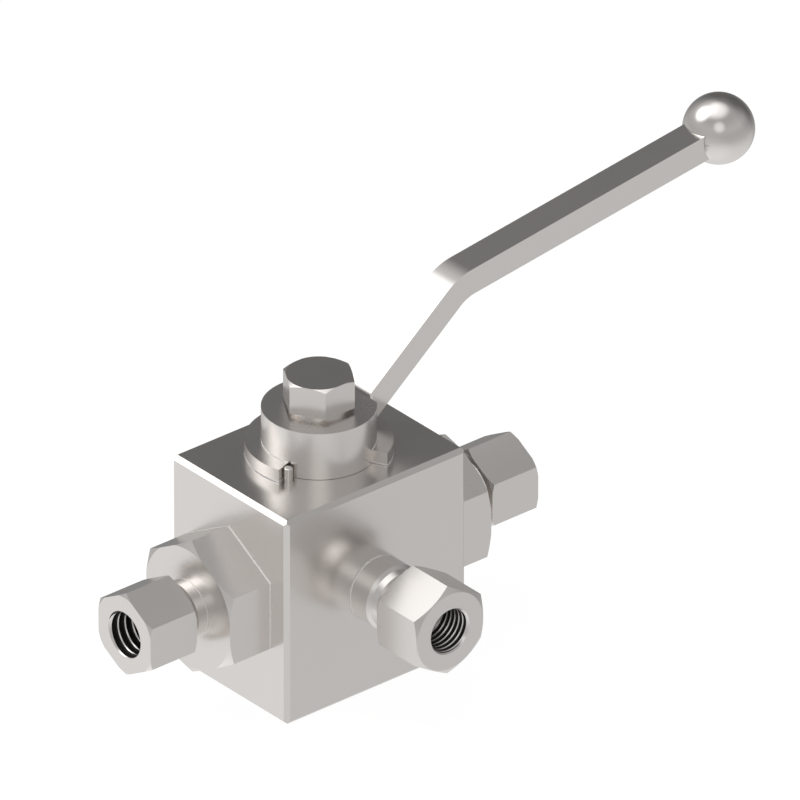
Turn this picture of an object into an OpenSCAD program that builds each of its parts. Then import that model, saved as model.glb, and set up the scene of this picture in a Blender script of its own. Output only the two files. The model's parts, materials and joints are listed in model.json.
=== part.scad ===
// Three-way ball valve: square block body, two side ports, one front port, L-bored ball and a cranked
// hand lever. X runs along the through ports, -Y is the front port and Z is the stem axis.
// The origin is the centre of the base, under the stem. All sizes are millimetres and degrees.

/* [Block] */
// Length of the block, from side port face to side port face
block_len = 81; // [78:1:110]
// Width of the block, from front port face to back
block_wid = 62; // [60:1:84]
// Height of the block
block_h = 81; // [80:1:110]
// Chamfer along every edge of the block
block_chamfer = 1.6; // [0.6:0.2:3]
// Height of the port axes above the base
port_h = 40.5; // [38:0.5:42]

/* [Ball and seats] */
// Diameter of the ball
ball_d = 32; // [30:0.5:33]
// Diameter of the flow passage through ball, seats and adapters
flow_d = 13; // [8:0.5:13.5]
// Outer diameter of a ball seat
seat_od = 21; // [19:0.5:21.5]
// Length of a ball seat along its port
seat_len = 5.5; // [5:0.25:6.5]
// Flat land round a seat's spherical face
seat_land = 1; // [0.6:0.1:1.5]
// How far a seat stands out of its pocket
seat_stand = 0.6; // [0.4:0.1:0.9]
// Free height round the ball in the main cavity
cavity_gap = 2; // [1.5:0.25:2.5]

/* [Stem] */
// Diameter of the stem where it runs in the block
stem_d = 18; // [17:0.5:19]
// Diameter of the collar that stops the stem from leaving the block
collar_d = 24; // [22:0.5:25]
// Thickness of the collar
collar_t = 3.3; // [2.5:0.1:4]
// Free height between the ball and the collar
collar_gap = 1.1; // [0.8:0.1:1.6]
// Thickness of the thrust washer above the collar
thrust_t = 1.1; // [0.8:0.1:1.5]
// Thickness of the driving tang in the ball's slot
tang_t = 8; // [6:0.5:9]
// How deep the slot is cut into the top of the ball
slot_depth = 4.8; // [3:0.2:5]
// Across flats of the square that drives the lever
drive_af = 14; // [12:0.5:15]
// Diameter of the threaded end of the stem
stud_d = 13.8; // [10:0.2:13.8]
// Section diameter of the stem's O-rings
stem_oring_d = 1.56; // [1.2:0.06:1.8]
// Thickness of the backup ring over the lower O-ring
backup_t = 1; // [0.6:0.1:1.4]

/* [Adapters] */
// Across flats of a side adapter's hexagon
adapter_af = 45; // [40:1:48]
// Length of a side adapter's hexagon
adapter_len = 18.2; // [12:0.2:24]
// Diameter where a side adapter's chamfer meets its outer face
adapter_face_d = 45.8; // [38:0.2:46]
// Outer diameter of the spigots that carry the port nuts
spigot_d = 21.5; // [19:0.5:22]
// Diameter of the front adapter outside and inside the block
front_adapter_d = 24.4; // [24:0.1:25]
// Length of the front adapter's shoulder outside the block
front_shoulder = 8.7; // [4:0.1:12]
// Width of the 45 degree chamfer at the end of the front shoulder
front_chamfer = 1.15; // [0.6:0.05:1.2]
// Diameter of the waist between the front shoulder and its nut
waist_d = 20.6; // [19:0.2:21]
// Length of the taper from the front chamfer down to the waist
waist_taper = 2.25; // [1.5:0.05:3]
// Diameter of the flare that each port nut bears on
flare_d = 24.8; // [23:0.2:26]
// Length of the flare
flare_len = 3.6; // [2.4:0.2:4]
// Section diameter of the adapters' O-rings
adapter_oring_d = 1.8; // [1.4:0.1:2]
// Distance from the block's faces in to the adapters' O-rings
adapter_oring_in = 6; // [5:0.5:8]
// Section diameter of the O-rings behind the seats
seat_oring_d = 1.7; // [1.3:0.1:1.8]

/* [Port nuts] */
// Across flats of the two side port nuts
side_nut_af = 28; // [27:0.5:32]
// Length of the side port nuts
side_nut_len = 20.7; // [18:0.1:26]
// Distance from the block to the outer face of a side port nut
side_reach = 46.6; // [45:0.2:60]
// Across flats of the front port nut
front_nut_af = 30; // [28:0.5:34]
// Length of the front port nut
front_nut_len = 21.6; // [18:0.1:26]
// Distance from the block to the outer face of the front port nut
front_reach = 39.2; // [37:0.2:52]
// Diameter where the chamfers of a port nut meet its end faces
nut_face_d = 29.3; // [24:0.1:29.4]
// Diameter of the threaded bore in each port nut
port_d = 16; // [14:0.5:16.5]
// Depth of the threaded bore
port_depth = 14; // [10:0.5:15]
// Width and depth of the bore's countersink
port_sink = 0.7; // [0.3:0.1:1]

/* [Lever head] */
// Diameter of the lever's hub
hub_d = 40; // [36:0.5:44]
// Height from the block to the top of the hub
hub_top = 18.2; // [17:0.2:24]
// Thickness of the stop disc under the hub
disc_t = 5; // [3:0.25:6]
// How far the stop disc's raised sector stands out of the hub
sector_w = 5.75; // [4.25:0.25:8]
// Free height between block and stop disc
disc_gap = 0.1; // [0.05:0.05:0.3]
// Diameter of the stop pin
pin_d = 3.2; // [2.4:0.1:4]
// Height of the stop pin above the block
pin_h = 4.9; // [4.5:0.1:6.5]
// Radius of the rounded edge on top of the stop pin
pin_round = 0.5; // [0.2:0.1:0.8]
// How deep the stop pin sits in the block
pin_deep = 8; // [5:0.5:12]
// Free width between the hub and the stop pin
pin_room = 0.8; // [0.4:0.1:1]
// Direction of the stop pin from the stem axis, counter-clockwise from +X
pin_angle = 202; // [195:1:210]
// Travel of the lever between its stops
lever_travel = 90; // [60:5:120]
// Across flats of the cap nut
cap_af = 22.8; // [20:0.2:26]
// Height of the cap nut
cap_h = 11.3; // [9:0.1:14]
// Diameter where the cap nut's chamfer meets its top
cap_face_d = 23; // [19:0.2:24]
// Depth of the cap nut's threaded hole
cap_hole = 8.4; // [6:0.2:9]
// Outer diameter of the washer under the cap nut
washer_d = 21.2; // [20.8:0.2:24]
// Thickness of the washer under the cap nut
washer_t = 1.5; // [1:0.1:3]

/* [Lever bar] */
// Width of the bar
bar_w = 11.4; // [9:0.2:14]
// Thickness of the bar
bar_t = 9.9; // [7:0.1:12]
// How far the flat for the bar lies inside the hub's rim
flat_in = 3.4; // [2.4:0.2:4.4]
// Distance from the stem axis to the knee
knee_reach = 57.7; // [48:0.1:80]
// Distance from the stem axis to the centre of the knob
knob_reach = 180.4; // [120:0.1:220]
// Slope of the bar between foot and knee
rise_angle = 38.8; // [30:0.2:42]
// Slope of the bar from the knee to the knob
grip_angle = 7.7; // [0:0.1:12]
// Length of the bar's flat foot behind the hub's flat
foot_flat = 0.7; // [0.4:0.1:2]
// Radius of the fillet where the foot runs into the slope
foot_fillet = 2.4; // [1:0.2:5]
// Inner radius of the bend at the knee
knee_r = 13; // [5:0.5:16]
// Half width of the foot where it meets the hub
foot_half = 8.5; // [7.5:0.1:10]
// Diameter of the ball knob
knob_d = 25.4; // [20:0.2:32]
// How far the knob's centre lies above the middle of the bar
knob_lift = 0.4; // [0:0.1:1]
// Distance along the bar from the knob's centre to the end of the bar inside it
knob_seat = 4; // [2:0.5:6]

/* [Fits] */
// Radial clearance of shafts, spigots and threads in their holes
fit = 0.05; // [0.02:0.01:0.1]

/* [Hidden] */
$fn = 96;
cut = 1;

// Ball, cavity and seats, as distances from the ball's centre
ball_r = ball_d / 2;
flow_r = flow_d / 2;
cavity_r = ball_r + cavity_gap;
seat_r = seat_od / 2;
seat_in = sqrt(pow(ball_r + fit, 2) - pow(seat_r - seat_land, 2));
seat_out = seat_in + seat_len;
nose_in = seat_in + seat_stand;
seat_bore_r = flow_r + 0.25;

// Heights along the stem
collar_z = port_h + ball_r + collar_gap;
washer_z = collar_z + collar_t;
shoulder_z = washer_z + thrust_t;
tang_z = port_h + ball_r - slot_depth + 0.4;
stem_r = stem_d / 2;
collar_r = collar_d / 2;
stem_bore_r = stem_r + fit;
stem_oring_r = stem_oring_d / 2;
groove_fit = 0.03;
groove_w = stem_oring_d + 0.6;
stem_groove_r = stem_bore_r - 2 * groove_fit - stem_oring_d;
upper_groove_z = block_h - 4.5;
lower_groove_z = upper_groove_z - 6.5;

// Heights of the lever head
disc_z = block_h + disc_gap;
hub_z = disc_z + disc_t;
top_z = block_h + hub_top;
drive_top_z = top_z - 0.8;
cap_z = top_z + washer_t;
stud_top_z = cap_z + cap_hole - 0.7;
hub_r = hub_d / 2;
sector_r = hub_r + sector_w;
pin_r = pin_d / 2;
pin_reach = hub_r + pin_room + pin_r;

// The ends of the stop disc's gap meet the pin at the two ends of the travel
stop_half = asin((pin_r + fit) / pin_reach);
gap_start = pin_angle - stop_half;
gap_end = pin_angle + stop_half + lever_travel;

// Ports, as distances from the stem axis
side_face = block_len / 2;
front_face = block_wid / 2;
side_end = side_face + side_reach;
front_end = front_face + front_reach;
shank_r = cavity_r - fit;
front_r = front_adapter_d / 2;
front_bore_r = front_r + fit;
spigot_r = spigot_d / 2;
waist_r = waist_d / 2;
flare_r = flare_d / 2;
side_nut_in = side_end - side_nut_len;
front_nut_in = front_end - front_nut_len;
port_r = port_d / 2;

// Heights of the lever bar above its own base plane, the hub's top
fillet_run = foot_fillet * tan(rise_angle / 2);
flat_x = hub_r - flat_in;
bend_reach = flat_x + foot_flat + fillet_run;
knee_rise = (knee_reach - bend_reach) * tan(rise_angle);
knee_turn = rise_angle - grip_angle;
knee_outer_r = knee_r + bar_t;
bar_z = top_z;
knob_rise = knee_rise + (knob_reach - knee_reach) * tan(grip_angle) - bar_t / 2 / cos(grip_angle);
// Height of the bar's middle at the knob
knob_z = bar_z + knob_rise;
knob_r = knob_d / 2;

// Colours
STEEL = [0.72, 0.71, 0.69];
PLASTIC = [0.93, 0.92, 0.88];
RUBBER = [0.12, 0.12, 0.12];

adapter_groove_w = adapter_oring_d + 0.6;
// Radius of the groove's floor for an adapter's O-ring that seals in a hole of radius hole_r
function adapter_groove_r(hole_r) = hole_r - 2 * groove_fit - adapter_oring_d;

// Points of an arc of radius r about c, from angle a to angle b
function arc(c, r, a, b, n = 10) =
    [for (i = [0:n]) [c[0] + r * cos(a + (b - a) * i / n), c[1] + r * sin(a + (b - a) * i / n)]];

// Stands a shape that was drawn along +Z out along one of the ports
module along_port(side) {
    turn = side == "left" ? [0, -90, 0] : side == "right" ? [0, 90, 0] : [90, 0, 0];
    translate([0, 0, port_h]) rotate(turn) children();
}

// A hexagonal prism along +Z with a 30 degree chamfer at its far end, and at its near end too if asked.
// The corners lie along the local X axis
module hex_prism(af, len, face_d, both) {
    corner_r = af / sqrt(3);
    drop = max(0.01, (corner_r - face_d / 2) * tan(30));
    low = both ? drop : 0;
    low_r = both ? face_d / 2 : corner_r;
    intersection() {
        cylinder(h = len, r = corner_r, $fn = 6);
        rotate_extrude() polygon([[0, 0], [low_r, 0], [corner_r, low], [corner_r, len - drop],
            [face_d / 2, len], [0, len]]);
    }
}

// A hexagon whose corners point up and down once it is stood along a side port
module side_hex(af, len, face_d, both) {
    hex_prism(af, len, face_d, both);
}

// A hexagon whose corners point up and down once it is stood along the front port
module front_hex(af, len, face_d, both) {
    rotate([0, 0, 90]) hex_prism(af, len, face_d, both);
}

// A ring about Z with a round section, an O-ring
module oring(ring_r, section_r) {
    rotate_extrude() translate([ring_r, 0]) circle(r = section_r, $fn = 48);
}

// A groove for an O-ring in the outside of a shaft of radius r, its middle at z
module outer_groove(r, bottom_r, width, z) {
    translate([0, 0, z - width / 2]) difference() {
        cylinder(h = width, r = r + cut);
        translate([0, 0, -cut]) cylinder(h = width + 2 * cut, r = bottom_r);
    }
}

// A bar along Z whose section is an l by w rectangle with its corners cut off
module chamfered_bar(l, w, h, c) {
    linear_extrude(height = h, center = true) polygon([[-l / 2 + c, -w / 2], [l / 2 - c, -w / 2],
        [l / 2, -w / 2 + c], [l / 2, w / 2 - c], [l / 2 - c, w / 2], [-l / 2 + c, w / 2],
        [-l / 2, w / 2 - c], [-l / 2, -w / 2 + c]]);
}

// A box on the base plane with all its edges chamfered
module chamfered_box(l, w, h, c) {
    translate([0, 0, h / 2]) intersection() {
        chamfered_bar(l, w, h, c);
        rotate([90, 0, 0]) chamfered_bar(l, h, w, c);
        rotate([0, 90, 0]) chamfered_bar(h, w, l, c);
    }
}

module valve_block() {
    color(STEEL) difference() {
        chamfered_box(block_len, block_wid, block_h, block_chamfer);
        // main cavity, bored through for the two side adapters
        along_port("left") cylinder(h = block_len + 2 * cut, r = cavity_r, center = true);
        // front bore
        along_port("front") cylinder(h = front_face + cut, r = front_bore_r);
        // counterbore that holds the stem's collar and thrust washer, from inside
        translate([0, 0, port_h]) cylinder(h = shoulder_z - port_h, r = collar_r + 2 * fit);
        // stem bore
        translate([0, 0, port_h]) cylinder(h = block_h - port_h + cut, r = stem_bore_r);
        // hole for the stop pin
        rotate([0, 0, pin_angle]) translate([pin_reach, 0, block_h - pin_deep])
            cylinder(h = pin_deep + cut, r = pin_r + fit, $fn = 48);
    }
}

// Pocket for a seat and the groove behind it, cut from a nose that points at the ball
module seat_pocket() {
    cylinder(h = seat_out, r = seat_r + fit);
    translate([0, 0, seat_out - cut]) difference() {
        cylinder(h = cut + seat_oring_d + 0.1, r = seat_r - 0.3);
        cylinder(h = cut + seat_oring_d + 0.1, r = seat_r - 0.4 - seat_oring_d);
    }
}

// The ring of a seat's O-ring, lying in its groove
module seat_oring() {
    color(RUBBER) translate([0, 0, seat_out + 0.05 + seat_oring_d / 2])
        oring(seat_r - 0.35 - seat_oring_d / 2, seat_oring_d / 2);
}

module ball_seat() {
    color(PLASTIC) difference() {
        translate([0, 0, seat_in]) cylinder(h = seat_len, r = seat_r);
        cylinder(h = seat_out + cut, r = seat_bore_r);
        sphere(r = ball_r + fit);
    }
}

// The flare that the nut whose near end is at distance nut_in bears on, out of a neck of radius neck_r
module nut_flare(nut_in, neck_r) {
    translate([0, 0, nut_in - flare_len]) cylinder(h = flare_len, r1 = neck_r, r2 = flare_r);
}

// A side adapter, drawn along +Z from the ball: shank in the block, hexagon, neck with flare, spigot
module side_adapter() {
    spigot_end = side_end - port_depth;
    color(STEEL) difference() {
        union() {
            translate([0, 0, nose_in]) cylinder(h = side_face - nose_in, r = shank_r);
            translate([0, 0, side_face]) side_hex(adapter_af, adapter_len, adapter_face_d, false);
            translate([0, 0, side_face]) cylinder(h = spigot_end - side_face, r = spigot_r);
            nut_flare(side_nut_in, spigot_r);
        }
        seat_pocket();
        cylinder(h = spigot_end + cut, r = flow_r);
        outer_groove(shank_r, adapter_groove_r(cavity_r), adapter_groove_w, side_face - adapter_oring_in);
    }
}

// An adapter's O-ring, in a hole of radius hole_r whose mouth is at distance face
module adapter_oring(hole_r, face) {
    color(RUBBER) translate([0, 0, face - adapter_oring_in])
        oring(hole_r - groove_fit - adapter_oring_d / 2, adapter_oring_d / 2);
}

// The front adapter: shank in the block, chamfered shoulder, waist with flare, spigot
module front_adapter() {
    spigot_end = front_end - port_depth;
    shoulder_end = front_face + front_shoulder;
    taper_start = shoulder_end + front_chamfer;
    taper_r = front_r - front_chamfer;
    color(STEEL) along_port("front") difference() {
        union() {
            translate([0, 0, nose_in]) cylinder(h = shoulder_end - nose_in, r = front_r);
            translate([0, 0, shoulder_end]) cylinder(h = front_chamfer, r1 = front_r, r2 = taper_r);
            translate([0, 0, taper_start]) cylinder(h = waist_taper, r1 = taper_r, r2 = waist_r);
            translate([0, 0, taper_start]) cylinder(h = front_nut_in - taper_start, r = waist_r);
            nut_flare(front_nut_in, waist_r);
            translate([0, 0, front_nut_in - cut])
                cylinder(h = spigot_end - front_nut_in + cut, r = spigot_r);
        }
        seat_pocket();
        cylinder(h = spigot_end + cut, r = flow_r);
        outer_groove(front_r, adapter_groove_r(front_bore_r), adapter_groove_w,
            front_face - adapter_oring_in);
    }
}

// The holes of a port nut whose outer face is at distance end: threaded bore, countersink, spigot socket
module nut_holes(end, len) {
    translate([0, 0, end - port_depth - cut]) cylinder(h = port_depth + 2 * cut, r = port_r);
    translate([0, 0, end - port_sink])
        cylinder(h = port_sink + fit, r1 = port_r, r2 = port_r + port_sink + fit);
    translate([0, 0, end - len - cut]) cylinder(h = len - port_depth + cut, r = spigot_r + fit);
}

module side_port_nut() {
    color(STEEL) difference() {
        translate([0, 0, side_nut_in])
            side_hex(side_nut_af, side_nut_len, nut_face_d, true);
        nut_holes(side_end, side_nut_len);
    }
}

module front_port_nut() {
    color(STEEL) along_port("front") difference() {
        translate([0, 0, front_nut_in])
            front_hex(front_nut_af, front_nut_len, nut_face_d, true);
        nut_holes(front_end, front_nut_len);
    }
}

module left_adapter() { along_port("left") side_adapter(); }
module right_adapter() { along_port("right") side_adapter(); }
module left_port_nut() { along_port("left") side_port_nut(); }
module right_port_nut() { along_port("right") side_port_nut(); }
module left_seat() { along_port("left") ball_seat(); }
module right_seat() { along_port("right") ball_seat(); }
module front_seat() { along_port("front") ball_seat(); }
module left_seat_oring() { along_port("left") seat_oring(); }
module right_seat_oring() { along_port("right") seat_oring(); }
module front_seat_oring() { along_port("front") seat_oring(); }
module left_adapter_oring() { along_port("left") adapter_oring(cavity_r, side_face); }
module right_adapter_oring() { along_port("right") adapter_oring(cavity_r, side_face); }
module front_adapter_oring() { along_port("front") adapter_oring(front_bore_r, front_face); }

// The stop pin: a round pin with a rounded edge on top
module stop_pin() {
    color(STEEL) rotate([0, 0, pin_angle]) translate([pin_reach, 0, block_h - pin_deep]) {
        cylinder(h = pin_deep + pin_h - pin_round, r = pin_r, $fn = 48);
        cylinder(h = pin_deep + pin_h, r = pin_r - pin_round, $fn = 48);
        translate([0, 0, pin_deep + pin_h - pin_round]) oring(pin_r - pin_round, pin_round);
    }
}

module thrust_washer() {
    color(PLASTIC) translate([0, 0, washer_z]) difference() {
        cylinder(h = thrust_t, r = collar_r);
        translate([0, 0, -cut]) cylinder(h = thrust_t + 2 * cut, r = stem_bore_r);
    }
}

// The ball: an L passage from the right to the front, and a slot for the stem's tang across its top
module ball() {
    slot_w = tang_t + 4 * fit;
    color(STEEL) translate([0, 0, port_h]) difference() {
        sphere(r = ball_r);
        rotate([0, 90, 0]) cylinder(h = ball_r + cut, r = flow_r);
        rotate([90, 0, 0]) cylinder(h = ball_r + cut, r = flow_r);
        sphere(r = flow_r);
        translate([-ball_r - cut, -slot_w / 2, ball_r - slot_depth])
            cube([2 * (ball_r + cut), slot_w, slot_depth + cut]);
    }
}

// The stem, from below: tang, collar, shaft with its seal grooves, drive square, threaded end
module stem() {
    lower_w = groove_w + backup_t;
    color(STEEL) difference() {
        union() {
            intersection() {
                translate([0, 0, tang_z]) cylinder(h = collar_z - tang_z + fit, r = stem_r + 1);
                translate([-collar_d, -tang_t / 2, tang_z]) cube([2 * collar_d, tang_t, collar_z]);
            }
            translate([0, 0, collar_z]) cylinder(h = collar_t, r = collar_r);
            translate([0, 0, collar_z]) cylinder(h = block_h - collar_z, r = stem_r);
            intersection() {
                translate([0, 0, block_h - fit]) cylinder(h = drive_top_z - block_h + fit, r = stem_r);
                translate([-drive_af / 2, -drive_af / 2, block_h - cut])
                    cube([drive_af, drive_af, hub_top + cut]);
            }
            translate([0, 0, block_h]) cylinder(h = stud_top_z - block_h, r = min(stud_d, drive_af) / 2);
        }
        outer_groove(stem_r, stem_groove_r, groove_w, upper_groove_z);
        outer_groove(stem_r, stem_groove_r, lower_w, lower_groove_z);
    }
}

module stem_ring(z) {
    color(RUBBER) translate([0, 0, z]) oring(stem_bore_r - groove_fit - stem_oring_r, stem_oring_r);
}

module stem_upper_oring() { stem_ring(upper_groove_z); }
module stem_lower_oring() { stem_ring(lower_groove_z - backup_t / 2); }

// The backup ring lies on the lower O-ring, at the top of the lower groove
module stem_backup_ring() {
    ring_z = lower_groove_z + (groove_w + backup_t) / 2 - backup_t - groove_fit;
    color(PLASTIC) translate([0, 0, ring_z]) difference() {
        cylinder(h = backup_t, r = stem_bore_r - groove_fit);
        translate([0, 0, -cut]) cylinder(h = backup_t + 2 * cut, r = stem_groove_r + groove_fit);
    }
}

// The square hole that fits over the stem's drive square
module drive_hole(z, h) {
    hole = drive_af + 2 * fit;
    intersection() {
        translate([-hole / 2, -hole / 2, z]) cube([hole, hole, h]);
        translate([0, 0, z]) cylinder(h = h, r = stem_r + fit);
    }
}

// A wedge about Z from angle a to angle b, less than 180 degrees apart
module wedge(a, b, r, h) {
    mid = (a + b) / 2;
    far = 2 * r / cos((b - a) / 2);
    linear_extrude(height = h)
        polygon([[0, 0], 2 * r * [cos(a), sin(a)], far * [cos(mid), sin(mid)], 2 * r * [cos(b), sin(b)]]);
}

// The stop disc: its rim is cut back to the hub's size along the gap, whose two ends meet the stop pin
module stop_disc() {
    color(STEEL) translate([0, 0, disc_z]) difference() {
        cylinder(h = disc_t, r = sector_r);
        difference() {
            translate([0, 0, -cut]) wedge(gap_start, gap_end, sector_r, disc_t + 2 * cut);
            translate([0, 0, -2 * cut]) cylinder(h = disc_t + 4 * cut, r = hub_r);
        }
        drive_hole(-cut, disc_t + 2 * cut);
    }
}

// The lever's hub, with a flat on the side that the bar is welded to
module lever_hub() {
    color(STEEL) difference() {
        translate([0, 0, hub_z]) cylinder(h = top_z - hub_z, r = hub_r);
        translate([flat_x, -hub_d, hub_z - cut]) cube([hub_d, 2 * hub_d, top_z - hub_z + 2 * cut]);
        drive_hole(hub_z - cut, top_z - hub_z + 2 * cut);
    }
}

// Side outline of the bar, in its own X and height: foot, rise, knee and grip.
// The end lies inside the knob, knob_seat short of its centre
module bar_side() {
    t = bar_t;
    rise = rise_angle;
    grip = grip_angle;
    half = (rise + grip) / 2;
    fillet_c = [flat_x + foot_flat, foot_fillet];
    // centre of the knee's bends, below the knee along its bisector
    knee_c = [knee_reach + knee_outer_r * sin(half) / cos(knee_turn / 2),
        knee_rise - knee_outer_r * cos(half) / cos(knee_turn / 2)];
    // virtual corner under the foot
    under_bend = [bend_reach + t * tan(rise / 2), -t];
    end = [knob_reach - knob_seat * cos(grip), knob_rise - knob_seat * sin(grip)];
    side = [-sin(grip), cos(grip)] * t / 2;
    polygon(concat(
        [[flat_x, 0]],
        arc(fillet_c, foot_fillet, -90, -90 + rise),
        arc(knee_c, knee_outer_r, 90 + rise, 90 + grip),
        [end + side, end - side],
        arc(knee_c, knee_r, 90 + grip, 90 + rise),
        [under_bend, [flat_x, -t]]));
}

// Plan outline of the bar: straight, with a concave fillet on each side where it meets the hub
module bar_plan() {
    r = max(0.2, foot_half - bar_w / 2);
    near = arc([flat_x + r, foot_half], r, 180, 270, 8);
    far = [for (i = [len(near) - 1:-1:0]) [near[i][0], -near[i][1]]];
    polygon(concat(near, [[knob_reach, bar_w / 2], [knob_reach, -bar_w / 2]], far));
}

module lever_bar() {
    color(STEEL) intersection() {
        translate([0, 0, bar_z]) rotate([90, 0, 0])
            linear_extrude(height = 2 * foot_half + 2 * cut, center = true) bar_side();
        translate([0, 0, bar_z - 2 * bar_t])
            linear_extrude(height = knob_rise + 4 * bar_t) bar_plan();
    }
}

// The ball knob, with a socket for the end of the bar
module ball_knob() {
    color(STEEL) translate([knob_reach, 0, knob_z]) difference() {
        translate([0, 0, knob_lift]) sphere(r = knob_r);
        rotate([0, -grip_angle, 0]) translate([-knob_d, -bar_w / 2 - fit, -bar_t / 2 - fit])
            cube([knob_d - knob_seat + fit, bar_w + 2 * fit, bar_t + 2 * fit]);
    }
}

module cap_washer() {
    color(STEEL) translate([0, 0, top_z]) difference() {
        cylinder(h = washer_t, r = washer_d / 2);
        translate([0, 0, -cut]) cylinder(h = washer_t + 2 * cut, r = stud_d / 2 + fit);
    }
}

// The cap nut: a closed hexagon, its corners in line with the lever
module cap_nut() {
    color(STEEL) translate([0, 0, cap_z]) difference() {
        hex_prism(cap_af, cap_h, cap_face_d, false);
        translate([0, 0, -cut]) cylinder(h = cap_hole + cut, r = stud_d / 2 + fit);
    }
}

valve_block();
left_adapter();
right_adapter();
front_adapter();
left_port_nut();
right_port_nut();
front_port_nut();
left_seat();
right_seat();
front_seat();
left_seat_oring();
right_seat_oring();
front_seat_oring();
left_adapter_oring();
right_adapter_oring();
front_adapter_oring();
stop_pin();
thrust_washer();
ball();
stem();
stem_lower_oring();
stem_upper_oring();
stem_backup_ring();
stop_disc();
lever_hub();
lever_bar();
ball_knob();
cap_washer();
cap_nut();
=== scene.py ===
import json
import math

import bmesh
import bpy
from mathutils import Matrix, Vector


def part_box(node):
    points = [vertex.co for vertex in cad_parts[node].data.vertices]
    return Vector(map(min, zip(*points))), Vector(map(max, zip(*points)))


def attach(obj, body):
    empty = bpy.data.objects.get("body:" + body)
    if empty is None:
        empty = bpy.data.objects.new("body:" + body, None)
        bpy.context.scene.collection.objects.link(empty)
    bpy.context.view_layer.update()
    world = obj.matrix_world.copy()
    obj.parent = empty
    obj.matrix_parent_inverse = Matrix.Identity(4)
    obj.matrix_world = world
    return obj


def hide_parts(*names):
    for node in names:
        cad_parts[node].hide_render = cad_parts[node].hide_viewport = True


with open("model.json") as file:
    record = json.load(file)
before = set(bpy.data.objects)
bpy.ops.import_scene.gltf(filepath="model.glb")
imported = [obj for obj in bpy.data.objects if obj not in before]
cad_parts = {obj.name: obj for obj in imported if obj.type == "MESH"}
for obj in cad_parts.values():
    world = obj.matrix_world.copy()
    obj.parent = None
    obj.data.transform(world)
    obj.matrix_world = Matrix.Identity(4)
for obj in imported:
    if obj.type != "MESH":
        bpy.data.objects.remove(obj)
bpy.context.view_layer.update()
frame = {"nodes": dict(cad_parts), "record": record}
nodes = frame["nodes"]
scene = bpy.context.scene

MM = 0.001

# Camera: the photo is a parallel projection, so the lens is very long
PHOTO_PX = 800
MM_PER_PX = 0.345
CAMERA_AZIMUTH = -40
CAMERA_ELEVATION = 30
CAMERA_LENS = 1600
CAMERA_SENSOR = 36
# Where the valve's origin lies in the photo, from its middle, right and up
ORIGIN_RIGHT_PX = 319.15 - PHOTO_PX / 2
ORIGIN_UP_PX = PHOTO_PX / 2 - 654.2
# Distance from the origin towards the camera at which the scale holds exactly
FOCUS_DEPTH = 13 * MM

# Radiance of the studio by height, from straight down (-1) to straight up (1), away from its lamps
# and dark cards
STUDIO_BASE = [(-1.0, 0.95), (-0.7, 0.87), (-0.5, 0.74), (-0.3, 0.60), (0.0, 0.55), (0.35, 0.63),
               (0.7, 0.52), (1.0, 0.51)]
# Soft lamps: direction, half angle of the full part, half angle of the edge, added radiance
STUDIO_LAMPS = [
    ((-0.062, 0.050, 0.997), 7, 38, 0.82),
    ((-0.494, 0.498, 0.713), 6, 28, 1.6),
    ((-0.524, -0.661, 0.537), 1, 21.7, 0.50),
    ((-0.458, 0.587, -0.668), 22.6, 38.4, 0.25),
    ((-0.692, -0.253, -0.676), 22, 61.7, 0.10),
    ((-0.266, 0.480, 0.836), 13.3, 42, 0.36),
    ((0.947, -0.119, 0.299), 4, 45.7, -0.127),
    ((-0.029, 0.693, 0.720), 6.6, 23, -0.03),
]
# Dark cards: direction, half angle of the full part, half angle of the edge, share of light left
STUDIO_CARDS = [
    ((0.754, 0.599, 0.270), 12.6, 67, 0.43),
    ((0.648, 0.704, 0.290), 1.6, 31, 0.63),
]
STUDIO_TINT = (1.0, 0.995, 0.992)
# Level of all this light, which with the steel's own reflectance gives the photo's tones
STUDIO_LEVEL = 0.84

# The floor: half its side, how far it lies under the valve, its tone and its own glow
FLOOR_REACH = 20
FLOOR_DROP = 0.05 * MM
FLOOR_TONE = 0.12
FLOOR_GLOW = 0.94

# Steel: its reflectance, its grain's size, depth and spread in roughness, the scale of its blotches,
# and the range that the grain and the blotches add up to
STEEL = (0.79, 0.762, 0.74)
GRAIN = 0.12 * MM
RELIEF = 0.0001 * MM
SPREAD = 0.02
BLOTCHES = 60.0
GRAIN_RANGE = (0.6, 1.4)
# Each steel slot's roughness, and how much longer its grain is along X, Y and Z
STEELS = {
    "block_steel": (0.24, (14, 14, 1)),
    "turned_steel": (0.22, (1, 1, 1)),
    "nut_steel": (0.24, (1, 1, 1)),
    "lever_steel": (0.145, (14, 1, 1)),
    "ball_steel": (0.1, (1, 1, 1)),
}
# Each polymer's or rubber's colour, roughness and size of mottle, and the same for the painted shade in
# thread grooves
SOFTS = {
    "seat_polymer": ((0.8, 0.79, 0.75), 0.5, 0.8 * MM),
    "seal_rubber": ((0.02, 0.02, 0.02), 0.6, 0.5 * MM),
    # painted shade: the grooves of a thread are painted near-black to stand in for the shade deep inside
    # them
    "painted_shade_groove": ((0.012, 0.011, 0.010), 0.6, 0.5 * MM),
}
MOTTLE_DARK, MOTTLE_LIGHT = 0.85, 1.15
MOTTLE_RELIEF = 0.02 * MM
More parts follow.
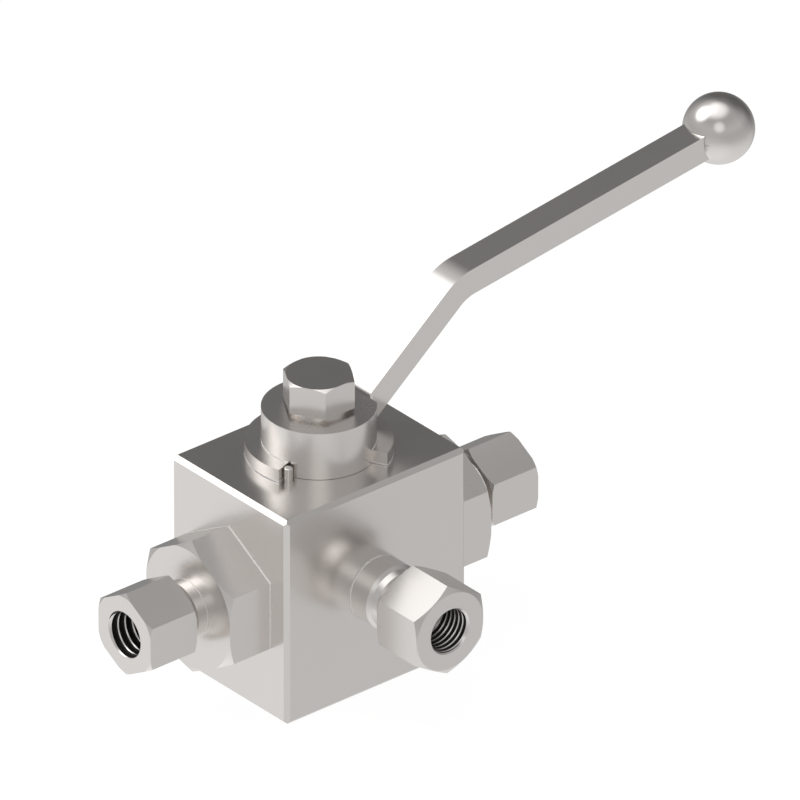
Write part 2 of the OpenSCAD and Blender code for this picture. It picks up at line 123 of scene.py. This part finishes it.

# Seams where a piece meets the block or another piece: small roundings of the normals, with a highlight
# painted in a lighter tone along them, given by the direction that they turn to, where they begin along
# that direction, their width, how far they turn, and whether they run on through the stop disc's gap
SEAMS = {
    "left_adapter": [((-1, 0, 0), 40.5 * MM, 0.45 * MM, 0.45, True),
                     ((-1, 0, 0), 58.75 * MM, 0.2 * MM, 0.45, True)],
    "right_adapter": [((1, 0, 0), 40.5 * MM, 0.45 * MM, 0.45, True),
                      ((1, 0, 0), 58.75 * MM, 0.2 * MM, 0.45, True)],
    "front_adapter": [((0, -1, 0), 31 * MM, 0.5 * MM, 1.0, True)],
    "stop_disc": [((0, 0, 1), 81.1 * MM, 0.45 * MM, 0.4, False)],
    "lever_hub": [((0, 0, 1), 86.1 * MM, 0.5 * MM, 0.4, False)],
}
SEAM_ROUGHNESS = 0.7
# painted highlight: the lighter tone of the steel along the seams
SEAM_HIGHLIGHT_TONE = (1.0, 0.985, 0.97, 1)
# Roughness of the whole surface of a piece that has seams
SEAMED_ROUGHNESS = 0.26
# The stop disc's gap, where the hub and the disc run on in one and have no seam: the direction of its
# middle, how far out its ends are that way, and a radius just outside its floor
GAP_MIDDLE = (-0.391, -0.921, 0)
GAP_SEAM = 13.1 * MM
GAP_RADIUS = 20.1 * MM

# The nuts' port threads: node, direction out of the port, pitch, depths where the thread begins and
# ends, and depth of the first groove's middle at the angle where the helix starts
PORTS = [
    ("left_port_nut", (-1, 0, 0), 3.15 * MM, 0.05 * MM, 11.2 * MM, 0.6 * MM),
    ("right_port_nut", (1, 0, 0), 3.15 * MM, 0.05 * MM, 11.2 * MM, 0.6 * MM),
    ("front_port_nut", (0, -1, 0), 2.1 * MM, 0.5 * MM, 13.6 * MM, -0.4 * MM),
]
PORT_HEIGHT = 40.5 * MM
BORE_RADIUS = 8 * MM
THREAD_DEPTH = 0.65 * MM
THREAD_STEPS = 120
# Width of a thread's crest along the bore, and half angle of its flanks
CREST_WIDTH = 0.6 * MM
FLANK_ANGLE = 30
# How far the solid that cuts the thread reaches inside the bore's wall
CUTTER_INSET = 0.3 * MM
# A thread's rounded crests catch the light from the mouth
CREST_LEAN = 0.8
CREST_ROUGHNESS = 0.3
CREST_TOLERANCE = 0.1 * MM

# Corners closer than this are one, and edges sharper than this stay sharp
JOIN_DISTANCE = 0.0005 * MM
SHARP_ANGLE = 20


def view_axes(azimuth, elevation):
    """Unit vectors right, up and towards the camera, for a camera at that angle."""
    a, e = math.radians(azimuth), math.radians(elevation)
    back = Vector((math.sin(a) * math.cos(e), -math.cos(a) * math.cos(e), math.sin(e)))
    right = Vector((0, 0, 1)).cross(back).normalized()
    return right, back.cross(right), back


def make_camera():
    """The camera at the photo's angle, scale and framing."""
    right, up, back = view_axes(CAMERA_AZIMUTH, CAMERA_ELEVATION)
    px = MM_PER_PX * MM
    target = -right * ORIGIN_RIGHT_PX * px - up * ORIGIN_UP_PX * px + back * FOCUS_DEPTH
    data = bpy.data.cameras.new("camera")
    data.lens = CAMERA_LENS
    data.sensor_width = CAMERA_SENSOR
    distance = PHOTO_PX * px / CAMERA_SENSOR * CAMERA_LENS
    data.clip_start = distance / 10
    data.clip_end = distance * 10
    camera = bpy.data.objects.new("camera", data)
    scene.collection.objects.link(camera)
    camera.location = target + back * distance
    camera.rotation_euler = (-back).to_track_quat("-Z", "Y").to_euler()
    scene.camera = camera


class Tree:
    """A short way to add nodes and links to a node tree."""

    def __init__(self, tree):
        self.tree = tree
        tree.nodes.clear()

    def add(self, kind, links=None, **settings):
        """A node of that kind. links gives its inputs: another node's output, or a value."""
        node = self.tree.nodes.new(kind)
        for key, value in settings.items():
            setattr(node, key, value)
        for key, value in (links or {}).items():
            if isinstance(value, bpy.types.NodeSocket):
                self.tree.links.new(value, node.inputs[key])
            else:
                node.inputs[key].default_value = value
        return node

    def math(self, operation, *values):
        """The result of a Math node."""
        return self.add("ShaderNodeMath", dict(enumerate(values)), operation=operation).outputs[0]

    def vector(self, operation, *values):
        """The vector that a Vector Math node gives."""
        node = self.add("ShaderNodeVectorMath", dict(enumerate(values)), operation=operation)
        return node.outputs["Vector"]

    def measure(self, operation, *values):
        """The number that a Vector Math node gives."""
        node = self.add("ShaderNodeVectorMath", dict(enumerate(values)), operation=operation)
        return node.outputs["Value"]

    def mix_number(self, share, first, second):
        """From the first number to the second as the share goes from 0 to 1."""
        return self.add("ShaderNodeMix", {0: share, 2: first, 3: second}, data_type="FLOAT").outputs[0]

    def mix_colour(self, share, first, second):
        """From the first colour to the second as the share goes from 0 to 1."""
        return self.add("ShaderNodeMix", {0: share, 6: first, 7: second}, data_type="RGBA").outputs[2]

    def ramp(self, value, stops):
        """A colour ramp with (position, grey) stops."""
        node = self.add("ShaderNodeValToRGB", {"Fac": value})
        elements = node.color_ramp.elements
        while len(elements) < len(stops):
            elements.new(0.5)
        for element, (place, grey) in zip(elements, stops):
            element.position = place
            element.color = (grey, grey, grey, 1)
        return node.outputs["Color"]


def new_material(name):
    """A material without nodes yet, and the tree to fill."""
    material = bpy.data.materials.new(name)
    material.use_nodes = True
    return material, Tree(material.node_tree)


def make_studio():
    """The studio's soft light, painted on the world by direction."""
    world = bpy.data.worlds.new("studio")
    scene.world = world
    world.use_nodes = True
    tree = Tree(world.node_tree)
    direction = tree.add("ShaderNodeTexCoord").outputs["Generated"]
    height = tree.add("ShaderNodeSeparateXYZ", {"Vector": direction}).outputs["Z"]
    place = tree.math("MULTIPLY_ADD", height, 0.5, 0.5)
    light = tree.ramp(place, [((z + 1) / 2, grey) for z, grey in STUDIO_BASE])

    def lobe(towards, full, edge):
        """1 within the full angle of a direction, 0 past the edge angle."""
        dot = tree.measure("DOT_PRODUCT", direction, Vector(towards).normalized())
        limits = {"Value": dot, "From Min": math.cos(math.radians(edge)),
                  "From Max": math.cos(math.radians(full)), "To Min": 0.0, "To Max": 1.0}
        return tree.add("ShaderNodeMapRange", limits, interpolation_type="SMOOTHSTEP").outputs[0]

    for towards, full, edge, left in STUDIO_CARDS:
        taken = tree.math("MULTIPLY", lobe(towards, full, edge), 1 - left)
        light = tree.math("MULTIPLY", light, tree.math("SUBTRACT", 1.0, taken))
    for towards, full, edge, gain in STUDIO_LAMPS:
        light = tree.math("ADD", light, tree.math("MULTIPLY", lobe(towards, full, edge), gain))
    light = tree.math("MULTIPLY", light, STUDIO_LEVEL)
    # the camera sees plain white past the floor
    is_camera = tree.add("ShaderNodeLightPath").outputs["Is Camera Ray"]
    seen = tree.mix_number(is_camera, light, 1.0)
    tint = tree.mix_colour(is_camera, (*STUDIO_TINT, 1), (1, 1, 1, 1))
    background = tree.add("ShaderNodeBackground", {"Color": tint, "Strength": seen})
    tree.add("ShaderNodeOutputWorld", {"Surface": background.outputs[0]})


def make_floor():
    """A plain pale floor that the camera sees and the steel doesn't mirror."""
    mesh = bpy.data.meshes.new("floor")
    shape = bmesh.new()
    bmesh.ops.create_grid(shape, x_segments=1, y_segments=1, size=FLOOR_REACH)
    shape.to_mesh(mesh)
    shape.free()
    floor = bpy.data.objects.new("floor", mesh)
    scene.collection.objects.link(floor)
    floor.location.z = -FLOOR_DROP
    material, tree = new_material("floor_paper")
    paper = tree.add("ShaderNodeBsdfPrincipled", {
        "Base Color": (FLOOR_TONE, FLOOR_TONE, FLOOR_TONE, 1), "Roughness": 1.0,
        "Specular IOR Level": 0.0, "Emission Color": (1, 1, 1, 1), "Emission Strength": FLOOR_GLOW})
    tree.add("ShaderNodeOutputMaterial", {"Surface": paper.outputs[0]})
    mesh.materials.append(material)
    for ray in ("visible_glossy", "visible_diffuse", "visible_shadow", "visible_transmission"):
        setattr(floor, ray, False)


def steel(name, roughness, stretch, seams=(), lean=(0, 0, 0)):
    """Stainless steel: metal with a fine grain in its roughness and relief.
    stretch is how much longer the grain is along X, Y and Z. seams are the rounded lines where the
    piece meets another one, each with a highlight painted in a lighter tone, and lean tilts the whole
    surface's light that way."""
    material, tree = new_material(name)
    place = tree.add("ShaderNodeTexCoord").outputs["Object"]
    scale = [1 / (GRAIN * s) for s in stretch]
    grain_place = tree.add("ShaderNodeMapping", {"Vector": place, "Scale": scale}).outputs[0]
    fine = tree.add("ShaderNodeTexNoise", {"Vector": grain_place, "Scale": 1.0, "Detail": 3.0})
    cloud = tree.add("ShaderNodeTexNoise", {"Vector": place, "Scale": BLOTCHES, "Detail": 2.0})
    mixed = tree.math("ADD", fine.outputs["Fac"], cloud.outputs["Fac"])
    least, most = GRAIN_RANGE
    rough = tree.add("ShaderNodeMapRange", {
        "Value": mixed, "From Min": least, "From Max": most,
        "To Min": roughness - SPREAD, "To Max": roughness + SPREAD}).outputs[0]
    normal = tree.add("ShaderNodeNewGeometry").outputs["Normal"]
    if any(lean):
        normal = tree.vector("ADD", normal, lean)
    tone = (*STEEL, 1)
    for towards, begin, width, tilt, in_gap in seams:
        along = tree.measure("DOT_PRODUCT", place, towards)
        line = tree.math("MULTIPLY", tree.math("GREATER_THAN", along, begin),
                         tree.math("LESS_THAN", along, begin + width))
        if not in_gap:
            side = tree.measure("DOT_PRODUCT", place, GAP_MIDDLE)
            radius = tree.measure("LENGTH", tree.vector("MULTIPLY", place, (1, 1, 0)))
            seamed = tree.math("MAXIMUM", tree.math("LESS_THAN", side, GAP_SEAM),
                               tree.math("GREATER_THAN", radius, GAP_RADIUS))
            line = tree.math("MULTIPLY", line, seamed)
        push = tree.add("ShaderNodeVectorMath", {0: towards, "Scale": tree.math("MULTIPLY", line, tilt)},
                        operation="SCALE").outputs["Vector"]
        normal = tree.vector("ADD", normal, push)
        rough = tree.mix_number(line, rough, SEAM_ROUGHNESS)
        # painted highlight: the seam line takes a lighter tone than the steel
        tone = tree.mix_colour(line, tone, SEAM_HIGHLIGHT_TONE)
    bump = tree.add("ShaderNodeBump", {
        "Height": fine.outputs["Fac"], "Strength": 1.0, "Distance": RELIEF,
        "Normal": tree.vector("NORMALIZE", normal)}).outputs[0]
    shader = tree.add("ShaderNodeBsdfPrincipled", {
        "Base Color": tone, "Metallic": 1.0, "Roughness": rough, "Normal": bump})
    tree.add("ShaderNodeOutputMaterial", {"Surface": shader.outputs[0]})
    return material


def soft(name, colour, roughness, speck):
    """A polymer or rubber with a faint mottle of that size."""
    material, tree = new_material(name)
    place = tree.add("ShaderNodeTexCoord").outputs["Object"]
    noise = tree.add("ShaderNodeTexNoise", {"Vector": place, "Scale": 1 / speck, "Detail": 4.0})
    mottle = noise.outputs["Fac"]
    dark = [c * MOTTLE_DARK for c in colour]
    light = [c * MOTTLE_LIGHT for c in colour]
    tone = tree.mix_colour(mottle, (*dark, 1), (*light, 1))
    bump = tree.add("ShaderNodeBump", {"Height": mottle, "Distance": MOTTLE_RELIEF}).outputs[0]
    shader = tree.add("ShaderNodeBsdfPrincipled", {
        "Base Color": tone, "Roughness": roughness, "Normal": bump})
    tree.add("ShaderNodeOutputMaterial", {"Surface": shader.outputs[0]})
    return material


MATERIALS = {slot: steel(slot, *look) for slot, look in STEELS.items()}
MATERIALS.update({slot: soft(slot, *look) for slot, look in SOFTS.items()})


def dress(piece, slot):
    """Gives a piece the material of one of the record's slots, with its seams."""
    material = MATERIALS[slot]
    if piece.name in SEAMS:
        stretch = STEELS[slot][1]
        material = steel(f"{slot}_{piece.name}", SEAMED_ROUGHNESS, stretch, SEAMS[piece.name])
    piece.data.materials.clear()
    piece.data.materials.append(material)


def thread_cutter(pitch, begin, end, phase):
    """A mesh along -Z: the solid whose ridges cut a right-hand thread's grooves into the bore."""
    slope = math.tan(math.radians(FLANK_ANGLE))
    inner, outer = BORE_RADIUS - CUTTER_INSET, BORE_RADIUS + THREAD_DEPTH
    mouth = (pitch - CREST_WIDTH) / 2
    foot, root = mouth + (BORE_RADIUS - inner) * slope, mouth - THREAD_DEPTH * slope
    profile = [(-foot, inner), (-root, outer), (root, outer), (foot, inner)]
    # some turns more than the thread has, whose ends are cut off below
    turns = range(-math.ceil(end / pitch) - 2, 4)
    rows = [(turn * pitch - phase + along, radius) for turn in turns for along, radius in profile]
    shape = bmesh.new()
    columns = []
    for i in range(THREAD_STEPS):
        turn = i / THREAD_STEPS
        c, s = math.cos(turn * math.tau), math.sin(turn * math.tau)
        columns.append([shape.verts.new((r * c, r * s, z + turn * pitch)) for z, r in rows])
    for i in range(THREAD_STEPS):
        near, far = columns[i], columns[(i + 1) % THREAD_STEPS]
        # the last column joins the first one a turn further on
        skip = 0 if i + 1 < THREAD_STEPS else len(profile)
        for n in range(len(rows) - 1 - skip):
            shape.faces.new((near[n], far[n + skip], far[n + skip + 1], near[n + 1]))
    for height, side in ((-begin, 1), (-end, -1)):
        everything = shape.verts[:] + shape.edges[:] + shape.faces[:]
        bmesh.ops.bisect_plane(shape, geom=everything, plane_co=(0, 0, height),
                               plane_no=(0, 0, side), clear_outer=True)
    bmesh.ops.holes_fill(shape, edges=[e for e in shape.edges if e.is_boundary], sides=0)
    bmesh.ops.recalc_face_normals(shape, faces=shape.faces[:])
    mesh = bpy.data.meshes.new("thread_cutter")
    shape.to_mesh(mesh)
    shape.free()
    return mesh


def joined_mesh(node):
    """A copy of a node's mesh whose faces share their corners."""
    shape = bmesh.new()
    shape.from_mesh(nodes[node].data)
    bmesh.ops.remove_doubles(shape, verts=shape.verts[:], dist=JOIN_DISTANCE)
    mesh = bpy.data.meshes.new(node + "_joined")
    shape.to_mesh(mesh)
    shape.free()
    return mesh


def smooth(mesh):
    """Gives a copy of a node's mesh new normals, smooth but for its edges."""
    mesh.attributes.remove(mesh.attributes["custom_normal"])
    mesh.polygons.foreach_set("use_smooth", [True] * len(mesh.polygons))
    mesh.set_sharp_from_angle(angle=math.radians(SHARP_ANGLE))


def smooth_bar():
    """The lever's bar with smooth bends."""
    mesh = joined_mesh("lever_bar")
    smooth(mesh)
    bar = bpy.data.objects.new("lever_bar_smooth", mesh)
    scene.collection.objects.link(bar)
    dress(bar, "lever_steel")
    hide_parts("lever_bar")
    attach(bar, "lever")


def threaded_nut(node, out, pitch, begin, end, phase):
    """The port nut with its internal thread cut in, in place of the plain-bored node."""
    lo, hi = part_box(node)
    out = Vector(out)
    reach = max(abs(c) for c in (lo.dot(out), hi.dot(out)))
    mouth = out * reach + Vector((0, 0, PORT_HEIGHT))
    crest = steel(f"thread_crest_{node}", CREST_ROUGHNESS, (1, 1, 1), lean=out * CREST_LEAN)
    # the thread's grooves get the near-black material, a painted shade
    materials = [MATERIALS["nut_steel"], MATERIALS["painted_shade_groove"], crest]
    wall_index, groove_index, crest_index = range(3)
    plain = bpy.data.objects.new(node + "_plain", joined_mesh(node))
    cutter = bpy.data.objects.new("thread_cutter", thread_cutter(pitch, begin, end, phase))
    for piece, index in ((plain, wall_index), (cutter, groove_index)):
        scene.collection.objects.link(piece)
        piece.data.materials.clear()
        for material in materials:
            piece.data.materials.append(material)
        piece.data.polygons.foreach_set("material_index", [index] * len(piece.data.polygons))
    turned = out.to_track_quat("Z", "Y").to_matrix().to_4x4()
    cutter.matrix_world = Matrix.Translation(mouth) @ turned
    cut = plain.modifiers.new("thread", "BOOLEAN")
    cut.operation = "DIFFERENCE"
    cut.solver = "EXACT"
    cut.object = cutter
    bpy.context.view_layer.update()
    ready = plain.evaluated_get(bpy.context.evaluated_depsgraph_get())
    threaded = bpy.data.meshes.new_from_object(ready)
    for piece in (plain, cutter):
        bpy.data.objects.remove(piece)
    smooth(threaded)
    for face in threaded.polygons:
        from_mouth = face.center - mouth
        depth = -from_mouth.dot(out)
        radius = (from_mouth + out * depth).length
        on_bore = abs(radius - BORE_RADIUS) < CREST_TOLERANCE and begin < depth < end
        if on_bore and face.material_index == wall_index:
            face.material_index = crest_index
    nut = bpy.data.objects.new(node + "_threaded", threaded)
    scene.collection.objects.link(nut)
    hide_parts(node)
    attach(nut, "valve")


def main():
    """Builds the scene around the frame's nodes."""
    make_camera()
    make_studio()
    make_floor()
    scene.view_settings.view_transform = "Standard"
    for part in frame["record"]["subparts"]:
        dress(nodes[part["node"]], part["material_slot"])
    for port in PORTS:
        threaded_nut(*port)
    smooth_bar()


main()
